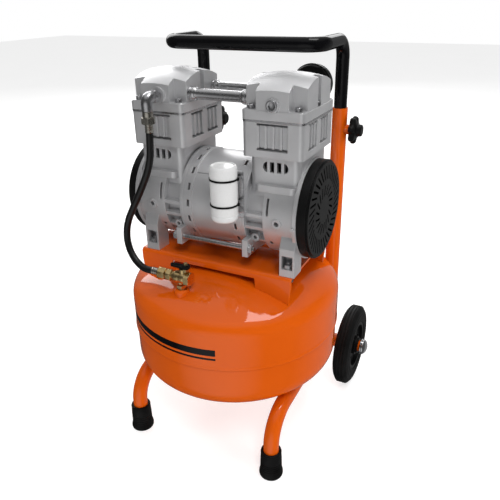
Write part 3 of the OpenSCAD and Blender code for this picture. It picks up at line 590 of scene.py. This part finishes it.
def make_air_filter():
    """A round intake filter with ribs round its rim and a grille of rings on its face."""
    low, high = low_and_high("air_filter")
    x, z, d = (low.x + high.x) / 2, (low.z + high.z) / 2, high.y - low.y

    def ribbed(a):
        return 29 - 0.9 * (0.5 - 0.5 * math.cos(40 * a))

    rings = [ring(9, 0, 160), ring(9, 5, 160), ring(26, 5.4, 160), ring(28.4, 6.6, 160), ring(29, 8, 160),
             ring(29, 10.6, 160), ring(30.9, 11.6, 160), ring(30.9, 15.2, 160), ring(ribbed, 16.2, 160),
             ring(ribbed, 27.5, 160), ring(28.6, 29, 160), ring(27, 31, 160)]
    rings += [ring(r, d - q, 160) for r, q in ((25.6, 0.6), (24.8, 0), (22.6, 0), (21.8, 1.6), (19.4, 1.6), (18.6, 0),
                                                (16.4, 0), (15.6, 1.6), (13.2, 1.6), (12.4, 0), (3, 0))]
    add_piece("air_filter", Shape().add(loft(rings), at(x, low.y, z, "Y")).mesh("air_filter"), "frame",
              "black_plastic", ["air_filter"], smooth=50)


make_capacitor()
make_air_filter()


# ---- Air line ----

def arc(centre, radius, start, end, steps=10):
    """Points of an arc in the YZ plane, from one angle to the other in degrees."""
    return [(centre[0], centre[1] + radius * math.cos(math.radians(a)), centre[2] + radius * math.sin(math.radians(a)))
            for a in (start + (end - start) * k / steps for k in range(steps + 1))]


def ferrule(length, r=6.35):
    """A crimped sleeve on the hose's end, up Z."""
    marks = []
    for k in range(3):
        h = length * (0.26 + 0.24 * k)
        marks += [(r, h - 1.2, 0.3), (r - 0.55, h - 0.7, 0.3), (r - 0.55, h + 0.7, 0.3), (r, h + 1.2, 0.3)]
    return turned([(5.4, 0, 0), (r - 0.5, 0, 0.4), (r, 0.8, 0.4), *marks, (r, length - 0.8, 0.4), (5, length, 0)], 48)


def make_elbow():
    low, high = low_and_high("outlet_elbow")
    x, z = (low.x + high.x) / 2, high.z - 8.6
    y, r = low.y + 8.6, 8.5
    route = [(x, y + 13, z), (x, y + 9, z)] + arc((x, y + 7, z - 7), 7, 90, 180) + [(x, y, z - 9), (x, y, z - 18)]
    radii = [r - 0.6, r] + [r] * (len(route) - 4) + [r, r - 0.4]
    shape = Shape().add(tube(route, radii, 40))
    shape.add(turned([(6, 0, 0), (6.4, 0.4, 0.3), (6.4, 39.6, 0.3), (5, 40, 0)], 32), at(x, y, z, "Y"))
    shape.add(hexagonal(17, 9), at(x, y + 13, z, "Y"))
    add_piece("outlet_elbow", shape.mesh("outlet_elbow"), "frame", "bright_steel", ["outlet_elbow"], smooth=50)
    low, high = low_and_high("head_plug")
    x, z = (low.x + high.x) / 2, (low.z + high.z) / 2
    rings = [ring(u, h, 48) for u, h in filleted([(5, 0, 0), (6.4, 0.5, 0.4), (6.4, 13.9, 0.1), (7.95, 14.1, 0.3),
                                                  (7.95, 15.7, 0.5), (7.2, 16.2, 0.5), (5.4, 16.2, 0.2)])]
    rings += [ring(hexed(4), h, 48) for h in (15.6, 12.4)] + [ring(1, 12, 48)]
    add_piece("head_plug", Shape().add(loft(rings), at(x, high.y, z, "-Y")).mesh("head_plug"), "frame",
              "bright_steel", ["head_plug"])


def make_line_fittings():
    """Ferrules and union nuts at both ends of the hose."""
    top, bottom = HOSE_ROUTE[0], HOSE_ROUTE[-1]
    shape = Shape().add(ferrule(13), at(*top)).add(hexagonal(19, 9.5), at(top[0], top[1], top[2] + 13))
    shape.add(turned([(7, 0, 0), (8, 0.4, 0.4), (8, 8.2, 0.6), (7, 8.5, 0)], 48), at(top[0], top[1], top[2] + 22.5))
    shape.add(ferrule(13), at(*bottom, "X"))
    add_piece("hose_fittings", shape.mesh("hose_fittings"), "frame", "plated_fittings", ["hose_fittings"])
    nut = Shape().add(hexagonal(17, 13), at(bottom[0] + 13, bottom[1], bottom[2], "X"))
    nut.add(turned([(5, 0, 0), (6.6, 0.3, 0.3), (6.6, 1.9, 0.3), (5, 2, 0)], 40), at(bottom[0] + 26, *bottom[1:], "X"))
    add_piece("union_nut", nut.mesh("union_nut"), "frame", "brass")


def make_valve():
    low, high = low_and_high("valve_body")
    x, y, z = low.x + 24, (low.y + high.y) / 2, low.z + 24
    stem = middle("valve_lever").x / MM + 10.5
    shape = Shape()
    shape.add(hexagonal(17, 9), at(x - 24, y, z, "X"))
    body = [(6, -15.5, 0), (7, -15, 0.3), (7, -11.5, 0.6), (8.6, -10.8, 0.8), (9.5, -8.5, 1.5), (9.5, -2, 0.4),
            (9.0, -1.6, 0.3), (9.0, 1.2, 0.3), (9.5, 1.6, 0.4), (9.5, 7.6, 1.2), (8.4, 9.2, 0.5), (6, 9.4, 0)]
    shape.add(turned(body, 48), at(x, y, z, "X")).add(hexagonal(19.6, 8.8), at(x + 9, y, z, "X"))
    shape.add(turned([(6.2, -9.5, 0), (6.4, -9, 0.3), (6.4, 0, 0), (2, 0, 0)], 40), at(x, y, z))
    shape.add(hexagonal(14, 5), at(x, y, z - 17)).add(threaded(6.1, 8), at(x, y, z - 24))
    shape.add(turned([(5.4, 0, 0), (5.4, 15, 0.8), (2, 16, 0)], 40), at(stem - 6, y, z))
    shape.add(hexagonal(9, 5), at(stem, y, z + 11.8)).add(threaded(2.95, 14, 1.0), at(stem, y, z + 12))
    add_piece("valve_body", shape.mesh("valve_body"), "frame", "brass", ["valve_body"])


def make_lever():
    """A pressed lever with a round eye, a raised rib and a nut on its stem."""
    low, high = low_and_high("valve_lever")
    x, y = high.x - 7, (low.y + high.y) / 2
    half = [(6.6, -2, 3), (4, -6.4, 3.5), (-4, -6.4, 3), (-12, -4.6, 3), (-24, -4.1, 2)]
    outline = half + [(-27.6, 0, 3)] + [(u, -v, f) for u, v, f in reversed(half)]
    rib = [(-10, -1.6, 1), (-25, -1.3, 1), (-25, 1.3, 1), (-10, 1.6, 1)]
    shape = Shape().add(slab(outline, 3.9, 0.8), at(x, y, low.z)).add(slab(rib, 1.6, 0.5), at(x, y, low.z + 3.6))
    shape.add(hexagonal(9.5, 2.4), at(x, y, low.z + 3.6))
    add_piece("valve_lever", shape.mesh("valve_lever"), "valve_lever", "black_plastic", ["valve_lever"])


make_elbow()
make_line_fittings()
make_valve()
make_lever()


# ---- Tank and decal ----

TANK_CROWN = 350                     # radius of the top's dome
TANK_KNUCKLE = 26                    # radius of its shoulder
TANK_BEND = 36                       # radius at the foot of the band
TANK_LIP = 0.7                       # how far the rolled seam stands out
TANK_SLIM = 1.6                      # the lower shell goes this far inside the upper
DISH_CURVE = 1250                    # the bottom's fall, as (radius squared) / this
BEND_TURN = math.radians(82)
STRIPES = {"stripe_upper": (226, 237), "stripe_lower": (218.5, 222)}  # lower and upper edges
STRIPES_START, STRIPES_END = -44, 17                                   # degrees from the front
STRIPE_STEPS = 60
VINYL = 0.12                         # thickness


def make_tank():
    """Two pressed shells: a round shoulder and a rolled lip above, and a deep round bottom below."""
    low, high = low_and_high("tank_top_shell")
    floor = low_and_high("tank_bottom_shell")[0].z
    r, top, seam = (high.x - low.x) / 2, high.z, low.z
    corner = r - TANK_KNUCKLE
    centre = top - TANK_CROWN + math.sqrt((TANK_CROWN - TANK_KNUCKLE) ** 2 - corner ** 2)
    end = math.asin(corner / (TANK_CROWN - TANK_KNUCKLE))
    outline = [(0.5, top, 0)]
    for a in (end * k / 24 for k in range(1, 25)):
        outline.append((TANK_CROWN * math.sin(a), top - TANK_CROWN + TANK_CROWN * math.cos(a), 0))
    for a in ((math.pi / 2 - end) * (1 - k / 12) for k in range(1, 13)):
        outline.append((corner + TANK_KNUCKLE * math.cos(a), centre + TANK_KNUCKLE * math.sin(a), 0))
    outline += [(r, seam + 4.5, 1), (r + TANK_LIP, seam + 2.6, 1.5), (r + TANK_LIP, seam - 1.2, 1.2),
                (r - 2, seam - 1.6, 0.6), (r - 3, seam + 4, 0)]
    add_piece("tank_top_shell", Shape().add(turned(outline, 180), at(0, 0, 0)).mesh("tank_top_shell"), "frame",
              "orange_paint", ["tank_top_shell"], smooth=35)
    sides = r - TANK_SLIM
    lowest = floor + (sides - TANK_BEND) ** 2 / DISH_CURVE
    outline = [(sides - 2, seam + 2, 0), (sides, seam, 0.4)]
    for a in (BEND_TURN * k / 12 for k in range(13)):
        outline.append((sides - TANK_BEND + TANK_BEND * math.cos(a), lowest + TANK_BEND * (1 - math.sin(a)), 0))
    width, height = outline[-1][:2]
    for k in range(1, 12):
        outline.append((width * (1 - k / 12), height - (height - floor) * (1 - (1 - k / 12) ** 2), 0))
    outline.append((0.5, floor, 0))
    add_piece("tank_bottom_shell", Shape().add(turned(outline, 180), at(0, 0, 0)).mesh("tank_bottom_shell"), "frame",
              "orange_paint", ["tank_bottom_shell"], smooth=35)


def make_decal():
    """Two plain stripes round the front of the tank's band, in thin vinyl."""
    low, high = low_and_high("tank_top_shell")
    r, n = (high.x - low.x) / 2 + VINYL, STRIPE_STEPS
    angles = [math.radians(STRIPES_START + (STRIPES_END - STRIPES_START) * k / n) for k in range(n + 1)]
    for name, heights in STRIPES.items():
        points = [(r * math.sin(a), -r * math.cos(a), h) for h in heights for a in angles]
        faces = [(k, k + 1, n + 2 + k, n + 1 + k) for k in range(n)]
        add_piece(name, Shape().add((points, faces)).mesh(name), "frame", "black_paint")


make_tank()
make_decal()


# ---- CAD nodes that keep their shape ----

def paint_nodes():
    for part in frame["record"]["subparts"]:
        data = frame["nodes"][part["node"]].data
        data.materials.clear()
        data.materials.append(MATERIALS[part["material_slot"]])


paint_nodes()


# ---- Floor and lights ----

FLOOR_HALF = 8.0
FLOOR_GLOW = 0.66
SKY_SEEN = 1.0                       # what the camera sees past the floor
AMBIENT = 0.07
AIM = Vector((0, 0, 0.35))           # what the soft boxes face
STUDIO_CARDS = [                     # direction, how it spreads, brightness
    ((0.10, -0.90, -0.42), (0.72, 0.95), 0.55), ((-0.40, 0.80, 0.45), (0.55, 0.95), 0.45),
    ((0.45, 0.80, -0.40), (0.60, 0.95), 0.22), ((0.0, 0.0, 1.0), (0.60, 0.95), 0.5),
]
SOFT_BOXES = [                       # name, direction, distance, size, watts, seen in shiny surfaces
    ("key", (1.3, -1.7, 2.7), 3.4, (0.9, 1.2), 52, False),
    ("side", (3.0, -0.9, 0.6), 3.2, (0.8, 2.6), 36, False),
    ("left", (-3.0, -1.2, 1.3), 3.4, (1.0, 2.0), 16, False),
    ("back", (-1.5, 3.0, 1.4), 3.6, (2.6, 1.3), 34, False),
    ("overhead", (0.24, 0.10, 0.97), 2.6, (1.1, 0.9), 18, True),
    ("left_back", (-0.65, 0.58, 0.49), 2.8, (1.9, 1.5), 30, True),
    ("straight_back", (-0.10, 0.91, 0.41), 3.0, (1.2, 0.8), 10, True),
]


def make_floor():
    made, nodes, links, shader = new_material("pale_floor")
    shade = ranged(nodes, links, noise_of(nodes, links, 3), 0, 1)
    links.new(mixed(nodes, links, shade, (0.50, 0.50, 0.50), (0.53, 0.53, 0.53)), shader.inputs["Base Color"])
    shader.inputs["Roughness"].default_value = 0.9
    shader.inputs["Emission Color"].default_value = (1, 1, 1, 1)
    shader.inputs["Emission Strength"].default_value = FLOOR_GLOW
    mesh = bpy.data.meshes.new("floor")
    h = FLOOR_HALF
    mesh.from_pydata([(-h, -h, 0), (h, -h, 0), (h, h, 0), (-h, h, 0)], [], [(0, 1, 2, 3)])
    mesh.materials.append(made)
    floor = bpy.data.objects.new("floor", mesh)
    floor.visible_glossy = False     # bright metal shows the studio's cards instead
    SCENE.collection.objects.link(floor)


def make_light(name, toward, distance, size, power, reflected):
    """A soft box in the direction toward, facing the object. reflected says whether shiny surfaces show it."""
    data = bpy.data.lights.new(name, "AREA")
    data.shape, data.size, data.size_y, data.energy = "RECTANGLE", *size, power
    light = bpy.data.objects.new(name, data)
    away = Vector(toward).normalized()
    light.matrix_world = Matrix.Translation(AIM + away * distance) @ away.to_track_quat("Z", "Y").to_matrix().to_4x4()
    light.visible_glossy = reflected
    SCENE.collection.objects.link(light)


def make_world():
    """A dark studio with a few broad soft cards."""
    world = bpy.data.worlds.new("studio")
    SCENE.world = world
    world.use_nodes = True
    nodes, links = world.node_tree.nodes, world.node_tree.links
    place = nodes.new("ShaderNodeTexCoord")
    level = None
    for toward, (start, end), bright in STUDIO_CARDS:
        dot = nodes.new("ShaderNodeVectorMath")
        dot.operation = "DOT_PRODUCT"
        dot.inputs[1].default_value = Vector(toward).normalized()
        links.new(place.outputs["Generated"], dot.inputs[0])
        card = ranged(nodes, links, dot.outputs["Value"], 0.0, bright, start, end)
        add = nodes.new("ShaderNodeMath")
        links.new(card, add.inputs[0])
        if level is None:
            add.inputs[1].default_value = AMBIENT
        else:
            links.new(level, add.inputs[1])
        level = add.outputs[0]
    seen, chosen = nodes.new("ShaderNodeLightPath"), nodes.new("ShaderNodeMix")
    links.new(seen.outputs["Is Camera Ray"], chosen.inputs[0])
    links.new(level, chosen.inputs[2])
    chosen.inputs[3].default_value = SKY_SEEN
    background = nodes["Background"]
    background.inputs["Color"].default_value = (1, 1, 1, 1)
    links.new(chosen.outputs[0], background.inputs["Strength"])


make_floor()
make_world()
for box in SOFT_BOXES:
    make_light(*box)
